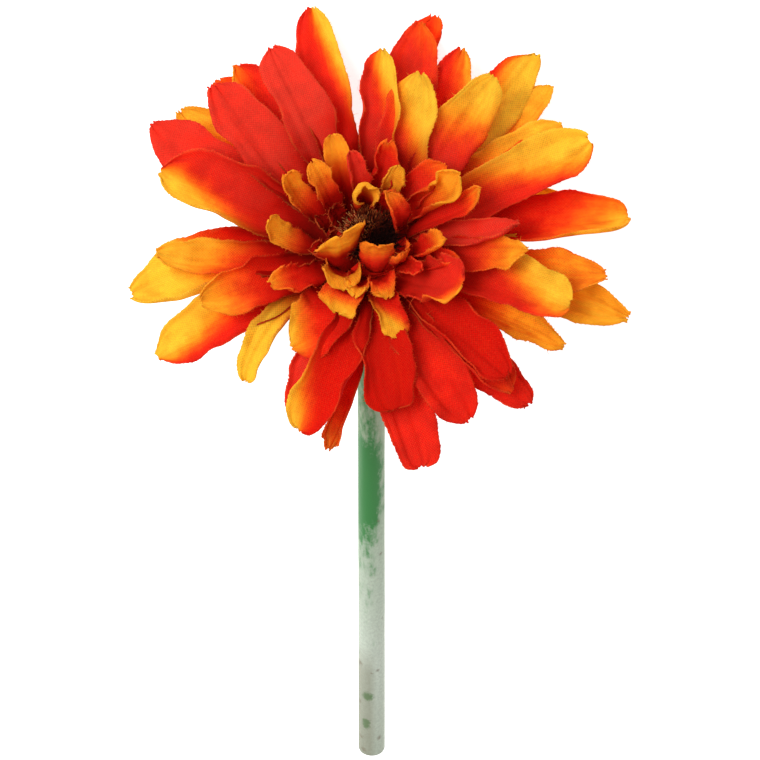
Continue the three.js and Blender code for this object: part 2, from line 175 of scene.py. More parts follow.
# Low-density polyethylene, injection moulded, with a chalky coat: matt and pale where the coat is, and a
# deeper, slightly glossy green where it is gone.
coated_polyethylene, tree = new_material("coated_polyethylene")
place = add_node(tree, "ShaderNodeTexCoord").outputs["Object"]
along = add_node(tree, "ShaderNodeAttribute", attribute_name="along").outputs["Fac"]
across_mm = add_node(tree, "ShaderNodeSeparateXYZ", {0: place}).outputs["X"]
share = add_node(tree, "ShaderNodeMath", {0: along, 1: STEM_TOP}, operation="DIVIDE").outputs[0]
PATCH = 1.7
GRAIN = 0.6
drawn_out = add_node(tree, "ShaderNodeVectorMath", {0: place, 1: (1, 0.4, 1)}, operation="MULTIPLY")
patches = add_node(
    tree,
    "ShaderNodeTexNoise",
    {"Vector": drawn_out.outputs[0], "Scale": 1 / (PATCH * MM), "Detail": 5.0, "Roughness": 0.6},
)
grain = add_node(
    tree,
    "ShaderNodeTexNoise",
    {"Vector": place, "Scale": 1 / (GRAIN * MM), "Detail": 3.0, "Roughness": 0.65},
)

# How bare the plastic is along the stem, from the cut end. Painted light: the right side is given less
# wear, so that it is paler as if lit from the right.
BARE_ALONG = (
    (0, 0.16), (26, 0.16), (40, 0.22), (55, 0.3), (62, 0.4), (69, 0.55), (74, 0.74), (84, 0.78), (92, 0.76),
    (96, 0.5), (103, 0.42), (112, 0.52), (130, 0.56),
)
bare = add_node(tree, "ShaderNodeValToRGB", {"Fac": share})
set_ramp(bare.color_ramp, [(along_mm / STEM_TOP, (b, b, b, 1)) for along_mm, b in BARE_ALONG])
lit_right_side = add_node(
    tree,
    "ShaderNodeMapRange",
    {"Value": across_mm, "From Min": -1.2 * MM, "From Max": 1.2 * MM, "To Min": 0.0, "To Max": 0.42},
)
wear_and_light = add_node(
    tree, "ShaderNodeMath", {0: bare.outputs["Color"], 1: lit_right_side.outputs[0]}, operation="SUBTRACT"
)
for pattern, strength in ((patches, 0.9), (grain, 0.3)):
    wear_and_light = add_node(
        tree,
        "ShaderNodeMath",
        {0: pattern.outputs["Fac"], 1: strength, 2: wear_and_light.outputs[0]},
        operation="MULTIPLY_ADD",
    )
worn_and_lit = add_node(
    tree,
    "ShaderNodeMapRange",
    {"Value": wear_and_light.outputs[0], "From Min": 0.86, "From Max": 1.24},
    interpolation_type="SMOOTHSTEP",
).outputs[0]

# Round worn spots near the cut end, and small brown specks, each as (across, along, radius). The grain
# makes their edges ragged.
WORN_SPOTS = ((-0.95, 18.6, 1.25), (-1.35, 10.6, 0.95), (-1.25, 9.6, 0.95))
BROWN_SPECKS = (
    (1.5, 71.5, 0.3), (2.1, 61.5, 0.35), (-2.6, 28.0, 0.7), (1.4, 26.5, 0.45), (0.0, 26.0, 0.25),
    (2.5, 42.0, 0.3), (-2.4, 5.4, 0.5), (1.7, 5.4, 0.5), (-2.7, 16.0, 0.5), (-1.9, 1.8, 0.6),
)
RAGGED = 1.6
push = add_node(
    tree, "ShaderNodeVectorMath", {0: grain.outputs["Color"], 1: (0.5, 0.5, 0.5)}, operation="SUBTRACT"
)
push = add_node(tree, "ShaderNodeVectorMath", {0: push.outputs[0], 3: RAGGED * MM}, operation="SCALE")
ragged_place = add_node(tree, "ShaderNodeVectorMath", {0: place, 1: push.outputs[0]}, operation="ADD")


def spots(spots_at, soft):
    """How far a point is inside the nearest of some round spots on the stem's top, from 0 to 1."""
    inside = 0.0
    for across, along_mm, radius in spots_at:
        centre = on_stem(across, math.sqrt(STEM_RADIUS**2 - across**2), along_mm) * MM
        away = add_node(
            tree, "ShaderNodeVectorMath", {0: ragged_place.outputs[0], 1: centre}, operation="DISTANCE"
        )
        outer_edge = radius * (1 + soft) * MM
        inner_edge = radius * (1 - soft) * MM
        near = add_node(
            tree,
            "ShaderNodeMapRange",
            {"Value": away.outputs["Value"], "From Min": outer_edge, "From Max": inner_edge},
        )
        nearest = add_node(tree, "ShaderNodeMath", {0: inside, 1: near.outputs[0]}, operation="MAXIMUM")
        inside = nearest.outputs[0]
    return inside


worn_and_lit = add_node(tree, "ShaderNodeMath", {0: worn_and_lit, 1: spots(WORN_SPOTS, 0.35)}, operation="MAXIMUM")
worn_and_lit = worn_and_lit.outputs[0]
coat = add_node(tree, "ShaderNodeValToRGB", {"Fac": share})
set_ramp(
    coat.color_ramp,
    [
        (0.0, linear("b2bba9")),
        (0.2, linear("c4cdbe")),
        (0.5, linear("a6b8a0")),
        (0.8, linear("9bae8e")),
    ],
)
tinted = add_node(
    tree,
    "ShaderNodeMapRange",
    {"Value": grain.outputs["Fac"], "From Min": 0.3, "From Max": 0.7, "To Min": 0.86, "To Max": 1.1},
)
coat = add_node(
    tree, "ShaderNodeVectorMath", {0: coat.outputs["Color"], 3: tinted.outputs[0]}, operation="SCALE"
)
colour = add_node(
    tree, "ShaderNodeMix", {"Factor": worn_and_lit, 6: coat.outputs[0], 7: linear("357d3d")}, data_type="RGBA"
).outputs[2]
speck = add_node(tree, "ShaderNodeMath", {0: spots(BROWN_SPECKS, 0.6), 1: 0.6}, operation="MULTIPLY")
colour = add_node(
    tree, "ShaderNodeMix", {"Factor": speck.outputs[0], 6: colour, 7: linear("6b5644")}, data_type="RGBA"
).outputs[2]

# Painted shade: near the cut end the stem is darker and greyer on its left side.
near_cut_end = add_node(
    tree, "ShaderNodeMapRange", {"Value": along, "From Min": 34.0, "From Max": 26.0, "To Max": 0.55}
).outputs[0]
left_side = add_node(
    tree, "ShaderNodeMapRange", {"Value": across_mm, "From Min": -0.6 * MM, "From Max": -2.2 * MM}
).outputs[0]
painted_left_shade = add_node(tree, "ShaderNodeMath", {0: near_cut_end, 1: left_side}, operation="MULTIPLY").outputs[0]
colour = add_node(
    tree, "ShaderNodeMix", {"Factor": painted_left_shade, 6: colour, 7: linear("83806a")}, data_type="RGBA"
).outputs[2]
rough = add_node(tree, "ShaderNodeMapRange", {"Value": worn_and_lit, "To Min": 0.75, "To Max": 0.5})
bump = add_node(tree, "ShaderNodeBump", {"Height": wear_and_light.outputs[0], "Strength": 0.25, "Distance": 0.15 * MM})
shader = add_node(
    tree,
    "ShaderNodeBsdfPrincipled",
    {"Base Color": colour, "Roughness": rough.outputs[0], "IOR": 1.51, "Normal": bump.outputs[0]},
)
add_node(tree, "ShaderNodeOutputMaterial", {"Surface": shader.outputs[0]})
add_piece("stem_rod", stem_mesh(), coated_polyethylene, "green_plastic", "stem")


# ---- Stem wire ----
# Drawn steel wire, 2 mm, galvanised. It is pushed up the bore and on through the layers, and holds the bend
# of the neck.
ZINC_SPANGLE = 0.8
galvanised_wire, tree = new_material("galvanised_steel_wire")
place = add_node(tree, "ShaderNodeTexCoord").outputs["Object"]
zinc = add_node(
    tree, "ShaderNodeTexNoise", {"Vector": place, "Scale": 1 / (ZINC_SPANGLE * MM), "Detail": 2.0}
).outputs["Fac"]
grey = add_node(
    tree, "ShaderNodeMix", {"Factor": zinc, 6: linear("8d8f92"), 7: linear("b3b5b6")}, data_type="RGBA"
)
rough = add_node(tree, "ShaderNodeMapRange", {"Value": zinc, "To Min": 0.3, "To Max": 0.5})
shader = add_node(
    tree,
    "ShaderNodeBsdfPrincipled",
    {"Base Color": grey.outputs[2], "Metallic": 1.0, "Roughness": rough.outputs[0]},
)
add_node(tree, "ShaderNodeOutputMaterial", {"Surface": shader.outputs[0]})
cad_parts["stem_wire"].data.materials.clear()
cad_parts["stem_wire"].data.materials.append(galvanised_wire)


# ---- Calyx ----
# A moulded green polyethylene cup behind the head, with eight blunt sepals. The stem's end is pushed into
# its socket, and the cloth layers lie on its rim.
CALYX_RADIUS = 9.0
CALYX_SEPALS = 8
SEPAL_ROOT = 7.4
SEPAL_REACH = 5.0
SEPAL_DROP = 1.9
SOCKET_FLOOR = -5.4
SOCKET_RADIUS = STEM_RADIUS + 0.35
HUB_HOLE_RADIUS = 1.35
head_place = Matrix.Translation(stem_line(HUB_ALONG)[0]) @ Matrix.Rotation(HEAD_RISE - math.pi / 2, 4, "X")


def calyx_mesh():
    """The cup, turned, then its rim drawn out into sepals."""
    profile = [
        (HUB_HOLE_RADIUS, -0.7), (HUB_HOLE_RADIUS, SOCKET_FLOOR), (SOCKET_RADIUS, SOCKET_FLOOR),
        (SOCKET_RADIUS, -CALYX_HEIGHT), (SOCKET_RADIUS + 0.75, -CALYX_HEIGHT), (SOCKET_RADIUS + 0.95, -8.7),
        (4.9, -6.5), (5.8, -4.9), (7.0, -3.6), (8.2, -2.8), (CALYX_RADIUS, -2.4),
        (CALYX_RADIUS + 0.1, -1.95), (CALYX_RADIUS, -1.5), (8.2, -1.2), (6.8, -0.7),
    ]
    bm = lathe(profile + profile[:1], 128)
    for vert in bm.verts:
        radius = math.hypot(vert.co.x, vert.co.y)
        sepal = 0.5 + 0.5 * math.cos(math.atan2(vert.co.y, vert.co.x) * CALYX_SEPALS)
        drawn = min(max((radius - SEPAL_ROOT) / (CALYX_RADIUS - SEPAL_ROOT), 0), 1) * sepal
        vert.co.x *= 1 + drawn * SEPAL_REACH / radius
        vert.co.y *= 1 + drawn * SEPAL_REACH / radius
        vert.co.z -= drawn * SEPAL_DROP
        vert.co = (head_place @ vert.co) * MM
    return bm


# Polyethylene as it leaves a spark-eroded mould: an even satin with a fine grain.
MOULD_TONE = 4.0
MOULD_GRAIN = 0.35
moulded_polyethylene, tree = new_material("moulded_polyethylene")
place = add_node(tree, "ShaderNodeTexCoord").outputs["Object"]
tone = add_node(
    tree, "ShaderNodeTexNoise", {"Vector": place, "Scale": 1 / (MOULD_TONE * MM), "Detail": 3.0}
).outputs["Fac"]
grain = add_node(
    tree, "ShaderNodeTexNoise", {"Vector": place, "Scale": 1 / (MOULD_GRAIN * MM), "Detail": 2.0}
).outputs["Fac"]
green = add_node(
    tree, "ShaderNodeMix", {"Factor": tone, 6: linear("2f6d33"), 7: linear("57904f")}, data_type="RGBA"
)
bump = add_node(tree, "ShaderNodeBump", {"Height": grain, "Strength": 0.3, "Distance": 0.1 * MM})
shader = add_node(
    tree,
    "ShaderNodeBsdfPrincipled",
    {"Base Color": green.outputs[2], "Roughness": 0.48, "IOR": 1.51, "Normal": bump.outputs[0]},
)
add_node(tree, "ShaderNodeOutputMaterial", {"Surface": shader.outputs[0]})
add_piece("calyx_cup", calyx_mesh(), moulded_polyethylene, "calyx_plastic", "calyx")


# ---- Outer petals ----
# Three layers of thirteen long petals. Each layer is one piece of stiffened woven polyester, die-cut, dyed
# red and yellow, threaded on the wire and bent by hand. Its cut edges fray.
CLOTH = 0.3
HUB_PITCH = 1.2
LAYER_GAP_ON_TABLE = 1.0
SETTLE = 1.2
SPINE_STEPS = 16
PETAL_WAIST = 0.27  # of its widest
PETAL_WIDEST = 0.56  # of its length
BLUNT_TIP = 0.2  # of its widest
TIP_FULLNESS = 2.8


def through(values, u):
    """A value that runs through three others, given at the root, the middle and the tip."""
    at_root, at_middle, at_tip = values
    if u < 0.5:
        return at_root + (at_middle - at_root) * u * 2
    return at_middle + (at_tip - at_middle) * (u * 2 - 1)


def outline(u, point):
    """A petal's width at a share of its length, over its widest. A point of 0.3 is square, 1 is sharp."""
    if u < PETAL_WIDEST:
        return PETAL_WAIST + (1 - PETAL_WAIST) * math.sin(math.pi / 2 * u / PETAL_WIDEST) ** 1.4
    to_tip = (u - PETAL_WIDEST) / (1 - PETAL_WIDEST)
    return max(BLUNT_TIP, (1 - to_tip**TIP_FULLNESS) ** point)


def rest_on_table(point, lowest):
    """Lifts a point that would sink into the table, or into a layer that lies on it."""
    over = point.z - lowest
    if over < SETTLE:
        point.z = lowest if over < -SETTLE else lowest + (over + SETTLE) ** 2 / (4 * SETTLE)
    return point


def bend_petal(layer, azimuth, row):
    """A petal bent so that it starts at its place on the hub and its tip is where its row says."""
    bearing, reach, lift_middle, lift_tip, twist, cup, bow, broad = row[:8]
    bearing = math.radians(bearing)
    root = Vector((math.cos(azimuth), math.sin(azimuth), 0)) * layer["root_radius"]
    tip = Vector((math.cos(bearing), math.sin(bearing), 0)) * reach
    lifts = zip(layer["lift"], layer["tilt"], (0, lift_middle, lift_tip))
    lift = [math.radians(of_layer + tilt * math.sin(bearing) + bent) for of_layer, tilt, bent in lifts]
    bow = math.radians(bow)
    level = 0.0
    for k in range(SPINE_STEPS):
        u = (k + 0.5) / SPINE_STEPS
        level += math.cos(through(lift, u)) * math.cos(bow * (2 * u - 1)) / SPINE_STEPS
    stands = layer.get("stands", False)
    return {
        "root": root + Vector((0, 0, layer["level"] * HUB_PITCH)),
        "course": bearing if stands else math.atan2((tip - root).y, (tip - root).x),
        "length": reach if stands else (tip - root).length / level,
        "lift": lift,
        "twist": math.radians(twist),
        "cup": math.radians(cup * layer["cupping"]),
        "bow": bow,
        "half_width": layer["width"] * broad / 2,
        "lowest": CLOTH / 2 + layer["level"] * LAYER_GAP_ON_TABLE,
        "dye": row[8:12],
        "point": row[12] if len(row) > 12 else layer["point"],
        "frill": row[13] if len(row) > 13 else 1,
    }


def petal_rows(petal, shares):
    """At each share of a petal's length: its spine, the ways to its side and up, its half width and cup."""
    def heading(u):
        return petal["course"] + petal["bow"] * (2 * u - 1)

    def ahead(u):
        lift = through(petal["lift"], u)
        level = math.cos(lift)
        return Vector((level * math.cos(heading(u)), level * math.sin(heading(u)), math.sin(lift)))

    spine = petal["root"].copy()
    reached = 0.0
    rows = []
    for u in shares:
        while reached < u * SPINE_STEPS - 1e-9:
            step = min(1.0, u * SPINE_STEPS - reached)
            spine += ahead((reached + step / 2) / SPINE_STEPS) * petal["length"] * step / SPINE_STEPS
            reached += step
        level_side = Vector((-math.sin(heading(u)), math.cos(heading(u)), 0))
        normal = ahead(u).cross(level_side)
        lean = petal["twist"] * u
        side = level_side * math.cos(lean) + normal * math.sin(lean)
        up = normal * math.cos(lean) - level_side * math.sin(lean)
        half = petal["half_width"] * outline(u, petal["point"])
        # The cup is deepest in the middle and nearly flat at the root and the tip.
        turn = petal["cup"] * math.sin(math.pi * (0.05 + 0.86 * u))
        rows.append((spine.copy(), side, up, half, turn))
    return rows


def gather(bm, part):
    """Moves all of one bmesh into another."""
    mesh = bpy.data.meshes.new("part")
    part.to_mesh(mesh)
    part.free()
    bm.from_mesh(mesh)
    bpy.data.meshes.remove(mesh)


# How long the dye's turn is and where the painted shade at a petal's root is full, as shares of its length,
# and how dark that painted shade is: darkest on the petals that point to one side of the head.
DYE_RUN = 0.55
SHADE_FULL_TO = 0.06
SHADE_MOST = 0.64
SHADE_MORE = 0.2
SHADED_SIDE = math.radians(165)
TIP_EDGE = 0.03


def cloth_layers(bm):
    """Each point's dye, painted light, painted shade and edge, and its flat place in millimetres."""
    return {
        "dye": bm.verts.layers.float.new("dye"),
        "painted_light": bm.verts.layers.float.new("painted_light"),
        "painted_shade": bm.verts.layers.float.new("painted_shade"),
        "edge": bm.verts.layers.float.new("edge"),
        "flat": bm.loops.layers.uv.new("flat"),
    }


def dye_and_painted_light_at(petal, layer, u, w):
    """At a share of the length and the half width: how yellow the dye is, and its painted light and shade.
    """
    start, sooner, most, painted_light = petal["dye"]
    turned = min(max((u - start + sooner * w) / DYE_RUN + 0.5, 0), 1)
    yellow = most * turned * turned * (3 - 2 * turned)
    # Painted shade: a deep red from the root outwards, reaching further at the sides where petals overlap
    # and darkest on petals that point to one side. A painted light below 0 adds painted shade to the whole
    # petal.
    shade_here = SHADE_MOST + SHADE_MORE * math.cos(petal["course"] - SHADED_SIDE)
    shade_share = (layer["shaded_to"] * (1 + 0.3 * w * w) - u) / (layer["shaded_to"] - SHADE_FULL_TO)
    painted_shade = min(max(shade_here * shade_share, -painted_light * (1 - yellow), 0), 1)
    return yellow, max(painted_light, 0), painted_shade


# How a petal strays from its plain bent shape, in millimetres, and from which share of its length or half
# width on. Each wave has a count along the petal, a count across it, a place in the noise and a height.
WAVES = ((3.4, 1.1, 0, 0.8), (8.5, 2.8, 7, 0.35), (1.8, 4.5, 33, 1.1))
FRILLS_ALONG = 11
FRILL_HEIGHT = 1.5
FRILLED_FROM = 0.4
ROLLED_FROM = 0.4
CREASE_DEPTH = (0.1, 0.8)
TIP_CURL = (-1.2, 1.5)
CURLED_FROM = 0.72
SKEW = 0.1  # of the half width
SIDE_TEETH = 0.06
RAGGED_TIP = 0.9
RAGGED_FROM = 0.8
TABLE_FROM = 0.3
TIP_FINER = 1.35
FLAT_SPACING = 40


def petal_habit(layer, draw):
    """How one petal differs from the next by chance: how it rolls, sways, creases and curls at its tip."""
    return {
        "seed": Vector((draw.uniform(-50, 50), draw.uniform(-50, 50), 0)),
        "roll": [math.radians(draw.gauss(*layer["roll"])) for _ in range(2)],
        "sway": draw.uniform(-1, 1) * layer["sway"],
        "heave": draw.uniform(-1, 1) * layer["sway"],
        "crease": draw.uniform(*CREASE_DEPTH),
        "teeth": draw.uniform(0.0, SIDE_TEETH),
        "tip_curl": draw.uniform(*TIP_CURL),
        "skew": draw.uniform(-SKEW, SKEW),
    }


def swell_at(habit, u, w, frill):
    """How far the cloth stands off its plain shape: waves, frilled sides, a crease and a curled tip."""
    seed = habit["seed"]
    swell = 0.0
    for along_petal, across, drift, height in WAVES:
        swell += noise.noise(seed + Vector((u * along_petal, w * across, drift))) * height
    frilled = noise.noise(seed + Vector((u * FRILLS_ALONG, 4 * (w > 0), 21))) * FRILL_HEIGHT * frill
    swell += frilled * max(0, abs(w) - FRILLED_FROM)
    swell -= habit["crease"] * math.exp(-((w * 3) ** 2)) * math.sin(math.pi * min(1, u * 1.1))
    return swell + habit["tip_curl"] * max(0, u - CURLED_FROM) ** 2 / (1 - CURLED_FROM) ** 2


def across_petal(w, half, turn, roll, steps):
    """A petal's section: how far out and up a point is. It curves by its cup and, at its sides, its roll."""
    out = rise = 0.0
    for k in range(round(abs(w) * steps)):
        middle = (k + 0.5) / steps
        angle = turn * middle + roll * max(0, middle - ROLLED_FROM) / (1 - ROLLED_FROM)
        out += half / steps * math.cos(angle)
        rise += half / steps * math.sin(angle)
    return math.copysign(out, w), rise


def petal_point(petal, habit, layer, row, u, w, jag):
    """Where a point of a petal lies. Its jag is how far the cut has strayed outwards there."""
    spine, side, up, half, turn = row
    seed = habit["seed"]
    half *= 1 + habit["skew"] * math.sin(math.pi * u) * w
    roll = habit["roll"][w > 0] * min(1, max(0, (u - 0.15) / 0.5))
    out, rise = across_petal(w, half, turn, roll, layer["grid"][1] // 2)
    wander = noise.noise(seed + Vector((u * 6, 5 * (w > 0), 40))) * w**3 * layer["wander"]
    out += w * jag * min(1, u * 4)
    out += wander * min(1, u * 3, half / 3)
    out += habit["sway"] * math.sin(math.pi * u)
    rise += habit["heave"] * math.sin(math.pi * min(1, u * 1.3))
    rise += swell_at(habit, u, w, petal["frill"]) * layer["ripple"] * min(1, u * 3)
    at_tip = max(0, (u - RAGGED_FROM) / (1 - RAGGED_FROM)) ** 2
    ragged = noise.noise(seed + Vector((w * 2.2, 50, 0))) * RAGGED_TIP * at_tip
    spot = head_place @ (spine + side.cross(up) * ragged + side * out + up * rise)
    return rest_on_table(spot, petal["lowest"]) if u > TABLE_FROM else spot


def petal_rim(cell, shares, steps_across, dye_layer):
    """A petal's edge from an eighth of its length on: each place, the ways out and up, the dye and share."""
    steps_along = len(shares) - 1
    edge = []
    for i in range(steps_along // 8, steps_along + 1):
        for j, inner in ((0, 2), (steps_across, steps_across - 2)):
            edge.append((cell[i, j], cell[i, inner], shares[i]))
    for j in range(steps_across + 1):
        edge.append((cell[steps_along, j], cell[steps_along - 2, j], 1.0))
    return [
        (outer.co / MM, (outer.co - inner.co).normalized(), outer.normal.copy(), outer[dye_layer], u)
        for outer, inner, u in edge
    ]


def petal_mesh(petal, index, layer, draw):
    """One petal, as a grid with its dye, painted light and painted shade at each point, and its rim."""
    steps_along, steps_across = layer["grid"]
    shares = [1 - (1 - i / steps_along) ** TIP_FINER for i in range(steps_along + 1)]
    rows = petal_rows(petal, shares)
    habit = petal_habit(layer, draw)
    bm = bmesh.new()
    values = cloth_layers(bm)
    made = bmesh.ops.create_grid(bm, x_segments=steps_across, y_segments=steps_along, size=0.5)
    cell = {}
    for vert in made["verts"]:
        j = round((vert.co.x + 0.5) * steps_across)
        i = round((vert.co.y + 0.5) * steps_along)
        cell[i, j] = vert
        u = shares[i]
        w = 2 * j / steps_across - 1
        jag = 0.0
        if abs(w) == 1:
            jag = habit["teeth"] * (-1) ** i + draw.gauss(0, SIDE_TEETH)
        vert.co = petal_point(petal, habit, layer, rows[i], u, w, jag) * MM
        vert[values["dye"]], vert[values["painted_light"]], vert[values["painted_shade"]] = dye_and_painted_light_at(petal, layer, u, w)
        vert[values["edge"]] = max(abs(w), 1 - (1 - u) / TIP_EDGE, 0)
    where = {vert: key for key, vert in cell.items()}
    for face in bm.faces:
        for loop in face.loops:
            i, j = where[loop.vert]
            loop[values["flat"]].uv = (
                (2 * j / steps_across - 1) * petal["half_width"] + FLAT_SPACING * index,
                shares[i] * petal["length"],
            )
    bm.normal_update()
    return bm, petal_rim(cell, shares, steps_across, values["dye"])


# The threads that fray out of a cut edge. A stray one is a long one. The shortest are at a petal's tip.
FRAY_RADIUS = 0.06
FRAY_LENGTH = (0.35, 0.85)
STRAY_LENGTH = (1.2, 3.2)
STRAY_SHARE = 0.015
FRAY_ROOT = 0.2
AT_TIP = 0.45


def add_fibre(bm, start, direction, length, radius, bend, steps):
    """Adds a tapering three-sided fibre that turns by a bend at each step. Returns its points by step."""
    made = []
    step = length / steps
    for k in range(steps):
        place = Matrix.Translation((start + direction * step / 2) * MM)
        place @= direction.to_track_quat("Z", "Y").to_matrix().to_4x4()
        ends = [radius * (1 - 0.7 * (k + end) / steps) * MM for end in (0, 1)]
        cone = bmesh.ops.create_cone(
            bm, cap_ends=True, segments=3, radius1=ends[0], radius2=ends[1], depth=step * MM, matrix=place
        )
        made.append(cone["verts"])
        start = start + direction * step
        direction = (direction + bend).normalized()
    return made


def fray(rim, painted_light, draw, share):
    """Threads that stand out of a petal's cut edge, at a share of its points."""
    bm = bmesh.new()
    values = cloth_layers(bm)
    for at, out, normal, dye, u in rim:
        if draw.random() > share:
            continue
        stray = draw.random() < STRAY_SHARE
        lean = Vector((draw.gauss(0, 1), draw.gauss(0, 1), draw.gauss(0, 1)))
        direction = (out + lean * 0.3 + normal * draw.gauss(0, 0.25)).normalized()
        length = draw.uniform(*(STRAY_LENGTH if stray else FRAY_LENGTH))
        length *= min(1, AT_TIP + (1 - u) * 10)
        bend = lean * 0.22 if stray else lean * 0.1
        start = at - out * FRAY_ROOT
        if start.z + direction.z * length < CLOTH:
            continue
        for verts in add_fibre(bm, start, direction, length, FRAY_RADIUS, bend, 4 if stray else 1):
            for vert in verts:
                vert[values["dye"]] = dye
                vert[values["painted_light"]] = painted_light
                vert[values["edge"]] = 1.15
    return bm


def add_layer(layer, material, slot):
    """One cloth layer: its petals and hub, given a thickness, and the threads of its frayed edges."""
    draw = random.Random(layer["name"])
    cloth = bmesh.new()
    threads = bmesh.new()
    count = len(layer["petals"])
    for index, row in enumerate(layer["petals"]):
        azimuth = math.radians(layer["phase"] + 360 * index / count)
        petal = bend_petal(layer, azimuth, row)
        part, rim = petal_mesh(petal, index, layer, draw)
        gather(cloth, part)
        gather(threads, fray(rim, petal["dye"][3], draw, layer["fray"]))
    height = layer["level"] * HUB_PITCH
    hub = lathe([(HUB_HOLE_RADIUS, height), (layer["hub_radius"], height)], 64)
    bmesh.ops.transform(hub, matrix=Matrix.Scale(MM, 4) @ head_place, verts=hub.verts)
    gather(cloth, hub)
    piece = add_piece(layer["name"] + "_cloth", cloth, material, slot, layer["name"])
    wall = piece.modifiers.new("cloth thickness", "SOLIDIFY")
    wall.thickness = CLOTH * MM
    wall.offset = 0
    add_piece(layer["name"] + "_threads", threads, material, slot)


# Woven polyester, heat-set and stiffened, dyed wet so that the red runs into the yellow along the threads.
# It is matt, and thin enough to glow where light falls through it. Its patterns lie on the flat cloth. The
# weave is drawn about twice as coarse as it is, so that it shows.
WEAVE = 0.6
RUN_ACROSS = 0.9
RUN_ALONG = 6.0
CLOUD = 5.0
FINE = 0.45
FLECK = 0.3
SHOWS_THROUGH = 0.38
dyed_polyester, tree = new_material("dyed_woven_polyester")
flat = add_node(tree, "ShaderNodeUVMap", uv_map="flat").outputs["UV"]
dye, painted_light, painted_shade, edge = [
    add_node(tree, "ShaderNodeAttribute", attribute_name=name).outputs["Fac"]
    for name in ("dye", "painted_light", "painted_shade", "edge")
]
run = add_node(tree, "ShaderNodeMapping", {"Vector": flat, "Scale": (1 / RUN_ACROSS, 1 / RUN_ALONG, 1)})
run = add_node(
    tree, "ShaderNodeTexNoise", {"Vector": run.outputs[0], "Scale": 1.0, "Detail": 5.0, "Roughness": 0.6}
)
cloud = add_node(tree, "ShaderNodeTexNoise", {"Vector": flat, "Scale": 1 / CLOUD, "Detail": 3.0})
fine = add_node(tree, "ShaderNodeTexNoise", {"Vector": flat, "Scale": 1 / FINE, "Detail": 2.0})
fleck = add_node(tree, "ShaderNodeTexNoise", {"Vector": flat, "Scale": 1 / FLECK, "Detail": 1.0})

# From red to yellow, with streaks and clouds where the dye ran.
amount = dye
for pattern, strength in ((run, 0.3), (cloud, 0.4), (fine, 0.12)):
    spread = add_node(
        tree, "ShaderNodeMath", {0: pattern.outputs["Fac"], 1: strength, 2: amount}, operation="MULTIPLY_ADD"
    )
    amount = spread.outputs[0]
amount = add_node(tree, "ShaderNodeMath", {0: amount, 1: 0.41}, operation="SUBTRACT").outputs[0]
dyed = add_node(tree, "ShaderNodeValToRGB", {"Fac": amount})
set_ramp(
    dyed.color_ramp,
    [
        (0.0, linear("ee190d")),
        (0.16, linear("f32c10")),
        (0.36, linear("fb5418")),
        (0.56, linear("ff7f1b")),
        (0.76, linear("ffb026")),
        (1.0, linear("ffd23a")),
    ],
)

# Painted light, a paler red on the petals that face the light; light flecks; and painted shade, a deep red
# at the petals' roots, between them and on the petals that face away from the light.
redness = add_node(
    tree,
    "ShaderNodeMapRange",
    {"Value": amount, "From Min": 0.0, "From Max": 0.4, "To Min": 1.0, "To Max": 0.0},
)
# Painted light: petals that face the light are given a paler red.
painted_paleness = add_node(tree, "ShaderNodeMath", {0: redness.outputs[0], 1: painted_light}, operation="MULTIPLY")
colour = add_node(
    tree,
    "ShaderNodeMix",
    {"Factor": painted_paleness.outputs[0], 6: dyed.outputs["Color"], 7: linear("f0402f")},
    data_type="RGBA",
).outputs[2]
fleck = add_node(
    tree,
    "ShaderNodeMapRange",
    {"Value": fleck.outputs["Fac"], "From Min": 0.45, "From Max": 0.75, "To Max": 0.12},
).outputs[0]
colour = add_node(
    tree, "ShaderNodeMix", {"Factor": fleck, 6: colour, 7: linear("ff8f5c")}, data_type="RGBA"
).outputs[2]
# Painted shade: the deep red is mixed in at the petals' roots and on petals that face away from the light.
painted_shade = add_node(
    tree, "ShaderNodeMath", {0: cloud.outputs["Fac"], 1: 0.5, 2: painted_shade}, operation="MULTIPLY_ADD"
).outputs[0]
shade_tone = add_node(tree, "ShaderNodeMapRange", {"Value": painted_shade, "From Min": 0.6, "From Max": 1.0}).outputs[0]
shade_tone = add_node(
    tree, "ShaderNodeMix", {"Factor": shade_tone, 6: linear("c60b04"), 7: linear("7c0301")}, data_type="RGBA"
).outputs[2]
painted_shade = add_node(
    tree, "ShaderNodeMapRange", {"Value": painted_shade, "From Min": 0.3, "From Max": 0.75, "To Max": 0.92}
).outputs[0]
colour = add_node(tree, "ShaderNodeMix", {"Factor": painted_shade, 6: colour, 7: shade_tone}, data_type="RGBA").outputs[2]

# The cut edge, where the threads are bare.
edge = add_node(
    tree, "ShaderNodeMath", {0: cloud.outputs["Fac"], 1: 0.3, 2: edge}, operation="MULTIPLY_ADD"
).outputs[0]
cut = add_node(tree, "ShaderNodeMapRange", {"Value": edge, "From Min": 1.1, "From Max": 1.3, "To Max": 0.36})
colour = add_node(
    tree, "ShaderNodeMix", {"Factor": cut.outputs[0], 6: colour, 7: linear("ff9a4c")}, data_type="RGBA"
).outputs[2]

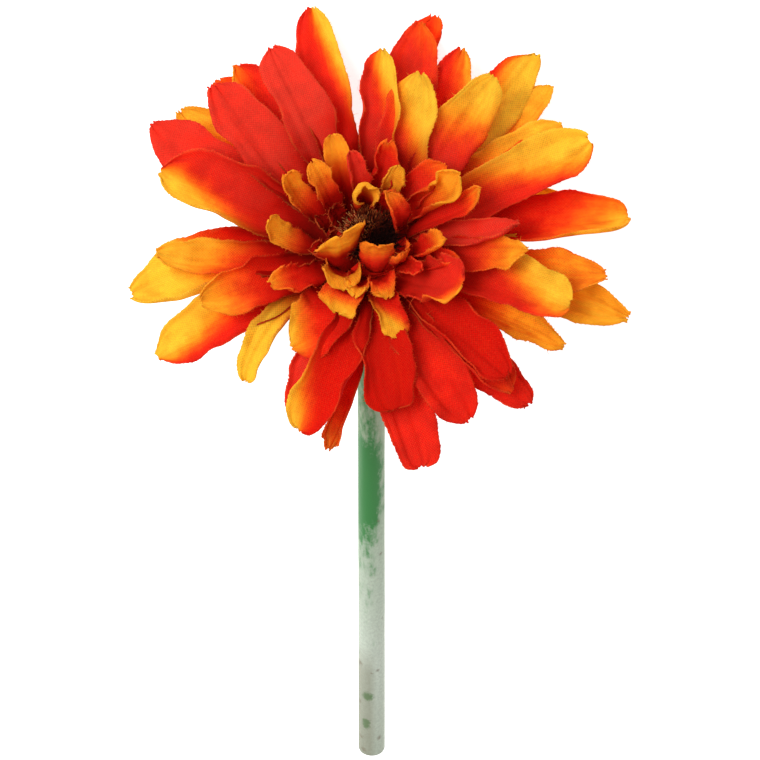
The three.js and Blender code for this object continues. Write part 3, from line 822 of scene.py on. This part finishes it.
# A plain weave, lighter on top of the threads, and uneven light and dark in the cloth.
sides = add_node(tree, "ShaderNodeSeparateXYZ", {0: flat})
threads_across = []
for side in ("X", "Y"):
    thread = add_node(
        tree, "ShaderNodeMath", {0: sides.outputs[side], 1: math.tau / WEAVE}, operation="MULTIPLY"
    )
    thread = add_node(tree, "ShaderNodeMath", {0: thread.outputs[0]}, operation="SINE")
    threads_across.append(thread.outputs[0])
weave = add_node(tree, "ShaderNodeMath", {0: threads_across[0], 1: threads_across[1]}, operation="MULTIPLY")
weave = add_node(
    tree,
    "ShaderNodeMath",
    {0: weave.outputs[0], 1: 0.5, 2: fine.outputs["Fac"]},
    operation="MULTIPLY_ADD",
).outputs[0]
shade = add_node(
    tree, "ShaderNodeMapRange", {"Value": weave, "From Max": 1.0, "To Min": 0.8, "To Max": 1.1}
)
mottled = add_node(
    tree,
    "ShaderNodeMapRange",
    {"Value": cloud.outputs["Fac"], "From Min": 0.3, "From Max": 0.7, "To Min": 0.88, "To Max": 1.1},
)
shade = add_node(tree, "ShaderNodeMath", {0: shade.outputs[0], 1: mottled.outputs[0]}, operation="MULTIPLY")
colour = add_node(tree, "ShaderNodeVectorMath", {0: colour, 3: shade.outputs[0]}, operation="SCALE")
colour = colour.outputs[0]
bump = add_node(tree, "ShaderNodeBump", {"Height": weave, "Strength": 0.4, "Distance": 0.08 * MM})
through_cloth = add_node(tree, "ShaderNodeBsdfTranslucent", {"Color": colour, "Normal": bump.outputs[0]})
shader = add_node(
    tree,
    "ShaderNodeBsdfPrincipled",
    {
        "Base Color": colour,
        "Roughness": 0.85,
        "IOR": 1.5,
        "Specular IOR Level": 0.04,
        "Sheen Weight": 0.03,
        "Sheen Roughness": 0.5,
        "Sheen Tint": linear("ff9a60"),
        "Normal": bump.outputs[0],
    },
)
shader = add_node(
    tree, "ShaderNodeMixShader", {0: SHOWS_THROUGH, 1: shader.outputs[0], 2: through_cloth.outputs[0]}
)
add_node(tree, "ShaderNodeOutputMaterial", {"Surface": shader.outputs[0]})

# Each petal: its tip's bearing and reach, how far its middle and its tip are bent up, its twist, cup and
# bow, in degrees and millimetres, and its breadth as a share of its layer's. Then its dye: the share of the
# length where it turns yellow, how much sooner on the counterclockwise side and how yellow it gets; and its
# painted light: how much paler its red is painted where it faces the light or, below 0, how much deeper its
# red is painted in shade. Last, where they differ from the layer's, how pointed its tip is and how much its
# sides are frilled.
# What layers share: the roll is its middle and its spread, the painted shade at the roots ends at its own
# share of the length, the tilt lifts the far petals, and fray is the share of edge points with a thread. A
# layer's lift is its petals' climb at root, middle and tip, and the tilt is added to it. Where a layer
# stands, reach is the length.
OUTER = {
    "width": 13.2,
    "cupping": 1.4,
    "point": 0.5,
    "roll": (6, 30),
    "sway": 1.0,
    "wander": 1.5,
    "shaded_to": 0.6,
    "root_radius": 7,
    "hub_radius": 8.6,
    "tilt": (4, 14, 16),
    "grid": (80, 18),
    "ripple": 0.8,
    "fray": 0.75,
}
OUTER_LAYERS = [
    {
        "name": "outer_petals_back",
        "level": 0,
        "phase": 17,
        "lift": (-2, -7, -10),
        "petals": [
            (17, 44, 0, 8, 0, 35, 0, 1, 0.45, 0, 0.95, 0, 0.62),
            (45.5, 56, -3, -1, -8, 34, 0, 0.9, 0.6, 0.1, 0.85, 0),
            (53.5, 60.5, -1, -9, 10, 30, 4, 0.95, 0.62, -0.35, 1, 0, 0.5),
            (76.7, 61, -3, -2, 0, 50, 0, 0.85, 0.9, -0.1, 0.5, 0.3, 0.6),
            (128, 55, -6, -16, -8, 30, -4, 0.9, 0.9, 0, 0.6, 0.3),
            (142, 53, 2, 6, 8, 32, 0, 0.9, 0.65, 0, 0.85, 0.3),
            (187, 52.5, -6, 6, 0, 34, 4, 1.3, 0.55, 0.1, 0.98, 0, 0.52, 1.6),
            (203.5, 50.3, 0, -6, -6, 38, 0, 1.15, 0.66, -0.4, 1, 0.2, 0.54, 1.8),
            (243, 36, -4, -20, 0, 40, 6, 0.6, 0.9, 0.1, 0.7, 1, 0.54),
            (283.7, 45.6, 0, -3, 0, 30, 0, 0.85, 1.3, 0, 0.4, 0.3, 0.22),
            (318, 46, 0, -4, 6, 36, 0, 0.85, 1.15, 0, 0.5, 0.2, 0.5),
            (336.4, 46, 2, -5, 0, 40, 0, 0.65, 0.5, 0, 0.75, 0, 0.58),
            (348, 57, 2, -4, 0, 34, -3, 0.9, 0.5, 0, 0.8, 0, 0.68),
        ],
    },
    {
        "name": "outer_petals_middle",
        "level": 1,
        "phase": 3,
        "lift": (1, 0, -3),
        "petals": [
            (7, 56, 2, -2, -14, 36, -4, 1.2, 0.74, -0.15, 0.8, 0, 0.35),
            (34.7, 50.7, -8, -5, 8, 34, 0, 0.95, 0.62, 0.2, 0.9, 0, 0.5, 1.6),
            (66, 48.5, -2, 8, 0, 40, 4, 0.85, 0.9, -0.3, 0.75, 0.2, 0.54),
            (78, 51, -0.5, 9, -8, 30, 0, 1, 0.9, -0.1, 0.5, 0.6, 0.62),
            (104, 54.5, 2, 2, 0, 50, 0, 0.95, 0.95, -0.5, 1, 0.3, 0.5),
            (126, 50, -2, 8, 8, 26, 0, 0.9, 0.9, 0.2, 0.65, 0.4),
            (150, 55, 3, 0, -6, 30, -4, 1, 1.4, 0, 0.5, 0.8),
            (180.3, 46.5, -6, 8, 0, 42, 0, 0.75, 0.6, -0.1, 0.9, 0, 0.58, 1.5),
            (226, 38.8, 6, -20, 0, 45, 18, 0.55, 0.35, 0, 1, 0, 0.35, 2.5),
            (252, 36, -14, -86, 0, 45, -20, 0.4, 0.7, 0, 0.55, 0, 0.66, 2),
            (300, 42, 2, -8, 0, 38, 3, 0.95, 1.2, 0, 0.5, 0.2, 0.45),
            (315, 43, 3, -4, -6, 36, 0, 0.85, 1.0, 0, 0.6, 0.1, 0.5),
            (354, 51, 0, 0, 6, 34, 0, 0.9, 0.55, 0, 0.66, 0, 0.64),
        ],
    },
    {
        "name": "outer_petals_front",
        "level": 2,
        "phase": 8,
        "lift": (3, 10, 4),
        "petals": [
            (24, 52, 0, 4, 10, 32, 0, 1.05, 0.64, 0.3, 1, 0.3, 0.36, 1.5),
            (53, 44.5, 0, 2, 0, 32, 0, 0.95, 0.66, 0.05, 1, 0.7, 0.56),
            (74, 37, 9, 5, 0, 34, 0, 0.95, 0.62, -0.25, 1, 0.5),
            (87, 41, 4, 6, -12, 45, 4, 0.9, 0.78, -0.35, 1, 0.6),
            (117, 48, 3.5, -11, 0, 34, 0, 0.85, 1.6, 0, 0.4, 0.95, 0.55),
            (135, 48.5, 0, -4, 6, 32, 0, 0.95, 1.15, 0, 0.5, 0.8, 0.6),
            (162, 48, 0, 2, -4, 34, 3, 1.35, 0.8, 0.45, 0.95, 0.4, 0.52),
            (200, 39, -4, 8, 0, 36, 0, 0.95, 0.72, 0, 0.8, 0, 0.54),
            (232, 27.5, 0, -10, -10, 38, -30, 1.1, 0.8, -0.2, 0.9, 0, 0.54, 1.6),
            (248.3, 41.2, -6, -30, 0, 36, -8, 1, 0.95, -0.35, 1, -0.2, 0.35, 1.5),
            (278, 36, 2, -16, 0, 34, 3, 1, 1.25, 0, 0.6, -0.25, 0.25, 1.8),
            (315, 41, 4, -12, 0, 38, 0, 0.95, 1.4, 0, 0.4, -0.2, 0.42),
            (341.5, 45, 2, -6, 0, 32, 0, 1.1, 0.72, 0.25, 0.95, 0.2, 0.4, 1.6),
        ],
    },
]
for outer_layer in OUTER_LAYERS:
    add_layer(OUTER | outer_layer, dyed_polyester, "red_fabric")


# ---- Inner petals ----
# Three smaller layers of twelve, twelve and eight short petals, cut from the same dyed cloth. They are
# curled over a hot iron, the lowest outwards and the topmost round the eye.
INNER = {
    "cupping": 1.2,
    "point": 0.5,
    "roll": (15, 35),
    "sway": 0.6,
    "wander": 1.0,
    "shaded_to": 0.65,
    "tilt": (6, 8, 8),
    "grid": (44, 14),
    "ripple": 0.6,
    "fray": 0.6,
}
INNER_LAYERS = [
    {
        "name": "inner_petals_low",
        "level": 3,
        "phase": 0,
        "width": 7.6,
        "root_radius": 8.1,
        "hub_radius": 8.4,
        "lift": (18, 26, 8),
        "petals": [
            (352, 33.5, -18, 36, 0, 45, 0, 1.15, 0.66, 0, 0.75, 0.2, 0.6, 2),
            (3, 31.2, -14, 40, -24, 40, 12, 1.1, 1.3, 0, 0.5, 0.8, 0.9),
            (44, 22, 14, 10, 12, 50, 0, 1.1, 0.75, 0, 0.5, 0.3, 0.6, 2),
            (78, 19, 24, 60, 0, 60, 0, 1.1, 0.85, 0, 0.55, 0.2, 0.5, 2),
            (112, 22, 24, 20, 0, 55, 0, 0.9, 0.5, 0, 0.7, 0, 0.3),
            (146.6, 22, 2, 60, 0, 50, 0, 0.85, 0.5, 0, 0.68, 0, 0.3),
            (172.3, 22, 4, 60, 0, 50, -30, 0.8, 0.45, 0, 0.72, 0, 0.3),
            (208, 24, -4, 40, 0, 60, -4, 1, 0.75, 0, 0.65, 0, 0.5, 4),
            (245, 16.5, 14, -70, 0, 45, 0, 1.3, 0.7, 0, 0.8, 0, 0.35, 4),
            (288, 21, -10, -50, 26, 60, 6, 0.95, 0.6, -0.4, 0.8, 0, 0.4, 3),
            (328, 23.5, 4, 46, 0, 55, 0, 1.9, 0.95, -0.3, 0.7, 0.4, 0.35, 4),
            (342, 20, 14, 20, 0, 60, 0, 0.8, 0.9, 0, 0.6, 0.2, 0.5, 2),
        ],
    },
    {
        "name": "inner_petals_middle",
        "level": 4,
        "phase": 15,
        "width": 6.8,
        "root_radius": 7.7,
        "hub_radius": 8.1,
        "lift": (42, 48, 30),
        "petals": [
            (15.3, 23.8, -30, 54, 0, 50, 0, 0.75, 0.75, 0, 0.7, 0.2, 0.35),
            (27.8, 21, -26, 60, 0, 105, 0, 1.8, 0.45, 0, 0.78, 0, 0.5, 2.5),
            (65, 14, 6, 35, 30, 60, -12, 0.75, 0.35, 0, 0.82, 0, 0.35),
            (105, 17, 6, 6, 0, 55, 0, 0.85, 1.4, 0, 0.4, 0.6),
            (134, 18, 8, 10, 0, 50, 0, 1, 0.55, 0, 0.66, 0, 0.3),
            (160, 12, 0, 20, 0, 45, 0, 0.75, 1.6, 0, 0.4, -0.8),
            (195, 13, 4, 20, 0, 45, 0, 0.75, 1.6, 0, 0.4, -0.5),
            (246, 13.5, 22, -50, 0, 50, 0, 1.6, 0.4, 0, 0.75, 0, 0.4, 4),
            (256, 14, 14, -40, 0, 50, 0, 1, 0.6, 0, 0.75, 0, 0.4, 4),
            (284, 14, 8, -40, 0, 55, 0, 1, 0.7, 0, 0.7, 0, 0.5, 4),
            (322, 14, 6, 10, 0, 50, 0, 0.8, 1.6, 0, 0.5, 0.1),
            (350, 16, 4, 20, 0, 60, 0, 0.9, 0.6, 0, 0.65, 0),
        ],
    },
    {
        "name": "inner_petals_top",
        "stands": True,
        "tilt": (0, 0, 0),
        "level": 5,
        "phase": 10,
        "width": 6.8,
        "root_radius": 7.1,
        "hub_radius": 7.6,
        "lift": (72, 78, 82),
        "petals": [
            (129, 16, 6, -50, 0, 45, 0, 0.85, 0.7, 0, 0.6, 0.2, 0.9),
            (60, 9, -10, -10, 0, 45, 0, 0.8, 0.9, 0, 0.6, 0.2),
            (105, 13, -6, 40, 0, 120, 0, 1.6, 0.4, 0, 0.82, 0, 0.4, 1.5),
            (150, 7, -20, -10, 0, 45, 0, 0.75, 1.6, 0, 0.4, -0.8),
            (192, 7, -20, -10, 0, 45, 0, 0.75, 1.6, 0, 0.4, -0.8),
            (132, 12, 0, -20, -20, -55, 0, 2, 0.45, 0, 0.72, 0, 0.3, 1.5),
            (270, 11, 38, 20, 0, 35, 0, 1.35, 0.6, 0, 0.62, 0.1, 0.4),
            (325, 7, -6, -12, 0, 30, 0, 1, 0.6, 0, 0.5, 0.1),
        ],
    },
]
for inner_layer in INNER_LAYERS:
    add_layer(INNER | inner_layer, dyed_polyester, "orange_fabric")


# ---- Eye ----
# A dark felt-backed button of short nylon bristles, glued on the end of the wire. The bristles are nearly
# black at the root and singed tan at their tips, with painted shade that darkens the tips on one side.
EYE_BASE = 6.7
EYE_FOOT_RADIUS = 5.4
EYE_RADIUS = 5.6
EYE_HEIGHT = 3.1
EYE_RIM = 0.9
EYE_SOCKET_RADIUS = HUB_HOLE_RADIUS - 0.2
EYE_SOCKET_DEPTH = 1.6
BRISTLE_FIELD = 5.2
BRISTLE_RADIUS = 0.13
BRISTLES = 1100
BRISTLE_BATCH = 100
GOLDEN_ANGLE = math.radians(137.508)
EYE_SHADE_BEARING = math.radians(-35)


def eye_height(radius):
    """The button's top at a distance from its axis."""
    crown = math.sqrt(max(0, 1 - (radius / EYE_RADIUS) ** 2))
    return EYE_BASE + EYE_RIM + (EYE_HEIGHT - EYE_RIM) * crown


def eye_mesh():
    """The button with its blind hole for the wire, and its bristles."""
    socket_top = EYE_BASE + EYE_SOCKET_DEPTH
    dome_radii = [EYE_FOOT_RADIUS * (1 - i / 10) for i in range(11)]
    profile = [
        (0, socket_top),
        (EYE_SOCKET_RADIUS, socket_top),
        (EYE_SOCKET_RADIUS, EYE_BASE),
        (EYE_FOOT_RADIUS, EYE_BASE),
    ]
    bm = lathe(profile + [(radius, eye_height(radius)) for radius in dome_radii], 40)
    bmesh.ops.transform(bm, matrix=Matrix.Scale(MM, 4) @ head_place, verts=bm.verts)
    bm.verts.layers.float.new("tip")
    draw = random.Random(41)
    turn_head = head_place.to_3x3()
    for batch in range(0, BRISTLES, BRISTLE_BATCH):
        part = bmesh.new()
        tip_layer = part.verts.layers.float.new("tip")
        for i in range(batch, min(batch + BRISTLE_BATCH, BRISTLES)):
            radius = BRISTLE_FIELD * math.sqrt((i + 0.5) / BRISTLES)
            at_rim = (radius / BRISTLE_FIELD) ** 2
            bearing = GOLDEN_ANGLE * i + draw.gauss(0, 0.1)
            lean = math.radians(8 + 55 * at_rim + draw.gauss(0, 14))
            around = bearing + draw.gauss(0, 0.5)
            direction = Vector(
                (math.sin(lean) * math.cos(around), math.sin(lean) * math.sin(around), math.cos(lean))
            )
            start = Vector(
                (radius * math.cos(bearing), radius * math.sin(bearing), eye_height(radius) - 0.15)
            )
            bend = turn_head @ Vector((draw.gauss(0, 0.25), draw.gauss(0, 0.25), 0))
            length = draw.uniform(1.4, 2.6) * (1 + 0.5 * at_rim)
            steps = add_fibre(
                part, head_place @ start, turn_head @ direction, length, BRISTLE_RADIUS, bend, 2
            )
            # Painted shade: the tips are darker towards one bearing and tanner on the side away from it.
            lit_side = 0.5 - 0.5 * math.cos(bearing - EYE_SHADE_BEARING)
            tan_and_light = draw.uniform(0.5, 1.3) * (0.15 + 0.85 * lit_side)
            for k, verts in enumerate(steps):
                for n, vert in enumerate(verts):
                    vert[tip_layer] = tan_and_light * (k + n % 2) / 2
        gather(bm, part)
    return bm


# Nylon bristle, dyed dark brown: each one slightly glossy, together a matt pile.
MOTTLE = 0.9
dyed_nylon, tree = new_material("dyed_nylon_bristle")
tip = add_node(tree, "ShaderNodeAttribute", attribute_name="tip").outputs["Fac"]
place = add_node(tree, "ShaderNodeTexCoord").outputs["Object"]
mottle = add_node(
    tree, "ShaderNodeTexNoise", {"Vector": place, "Scale": 1 / (MOTTLE * MM), "Detail": 2.0}
).outputs["Fac"]
singed = add_node(tree, "ShaderNodeMath", {0: mottle, 1: 0.5, 2: tip}, operation="MULTIPLY_ADD").outputs[0]
singed = add_node(tree, "ShaderNodeMath", {0: singed, 1: 0.25}, operation="SUBTRACT").outputs[0]
brown = add_node(tree, "ShaderNodeValToRGB", {"Fac": singed})
set_ramp(
    brown.color_ramp,
    [
        (0.0, linear("0e0402")),
        (0.3, linear("330c05")),
        (0.6, linear("7c2a10")),
        (0.85, linear("bf6a34")),
        (1.0, linear("d99a5e")),
    ],
)
shader = add_node(
    tree,
    "ShaderNodeBsdfPrincipled",
    {"Base Color": brown.outputs["Color"], "Roughness": 0.7, "IOR": 1.53, "Specular IOR Level": 0.08},
)
add_node(tree, "ShaderNodeOutputMaterial", {"Surface": shader.outputs[0]})
add_piece("eye_bristles", eye_mesh(), dyed_nylon, "brown_pile", "eye")


# ---- Table, light and camera ----
# A white paper table top under soft daylight from the head's far side, and a camera that looks down on the
# flower.
PAPER_GLOW = 0.7
DAYLIGHT = 0.56
table_mesh = bmesh.new()
bmesh.ops.create_grid(table_mesh, x_segments=1, y_segments=1, size=4)
mesh = bpy.data.meshes.new("table_top")
table_mesh.to_mesh(mesh)
table_mesh.free()

# Bright white paper, so evenly lit that it shows no edge or shade.
white_paper, tree = new_material("white_paper")
shader = add_node(
    tree,
    "ShaderNodeBsdfPrincipled",
    {
        "Base Color": linear("fbfbfb"),
        "Roughness": 0.9,
        "Emission Color": (1, 1, 1, 1),
        "Emission Strength": PAPER_GLOW,
    },
)
add_node(tree, "ShaderNodeOutputMaterial", {"Surface": shader.outputs[0]})
mesh.materials.append(white_paper)
table_top = bpy.data.objects.new("table_top", mesh)
bpy.context.scene.collection.objects.link(table_top)

world = bpy.data.worlds.new("room")
world.use_nodes = True
world.node_tree.nodes["Background"].inputs["Color"].default_value = (1, 1, 1, 1)
world.node_tree.nodes["Background"].inputs["Strength"].default_value = DAYLIGHT
bpy.context.scene.world = world
bpy.context.scene.view_settings.view_transform = "Standard"

EYE_TOP = 9.0
EYE_POINT = head_place @ Vector((0, 0, EYE_TOP))


def add_window(name, direction, distance, size, power):
    """A soft light that faces the head."""
    data = bpy.data.lights.new(name, "AREA")
    data.shape = "DISK"
    data.size = size
    data.energy = power
    lamp = bpy.data.objects.new(name, data)
    direction = Vector(direction).normalized()
    lamp.location = EYE_POINT * MM + direction * distance
    lamp.rotation_euler = direction.to_track_quat("Z", "Y").to_euler()
    bpy.context.scene.collection.objects.link(lamp)


add_window("key_window", (-0.6, 0.8, 1.1), distance=1.0, size=0.5, power=8.5)

CAMERA_ELEVATION = math.radians(61)
CAMERA_DISTANCE = 1200.0
PIXEL = 0.215  # of the picture, at the eye's distance
PICTURE = 760
EYE_PIXEL = (371, 237)
SENSOR = 36.0
toward = Vector((0, math.cos(CAMERA_ELEVATION), math.sin(CAMERA_ELEVATION)))
picture_up = Vector((0, math.sin(CAMERA_ELEVATION), -math.cos(CAMERA_ELEVATION)))
picture_right = Vector((1, 0, 0))
camera_at = EYE_POINT + toward * CAMERA_DISTANCE
camera_at += picture_right * (PICTURE / 2 - EYE_PIXEL[0]) * PIXEL
camera_at -= picture_up * (PICTURE / 2 - EYE_PIXEL[1]) * PIXEL
data = bpy.data.cameras.new("camera")
data.sensor_width = SENSOR
data.lens = SENSOR * CAMERA_DISTANCE / (PICTURE * PIXEL)
camera = bpy.data.objects.new("camera", data)
camera.location = camera_at * MM
camera.rotation_euler = Matrix((picture_right, picture_up, toward)).transposed().to_euler()
bpy.context.scene.collection.objects.link(camera)
bpy.context.scene.camera = camera
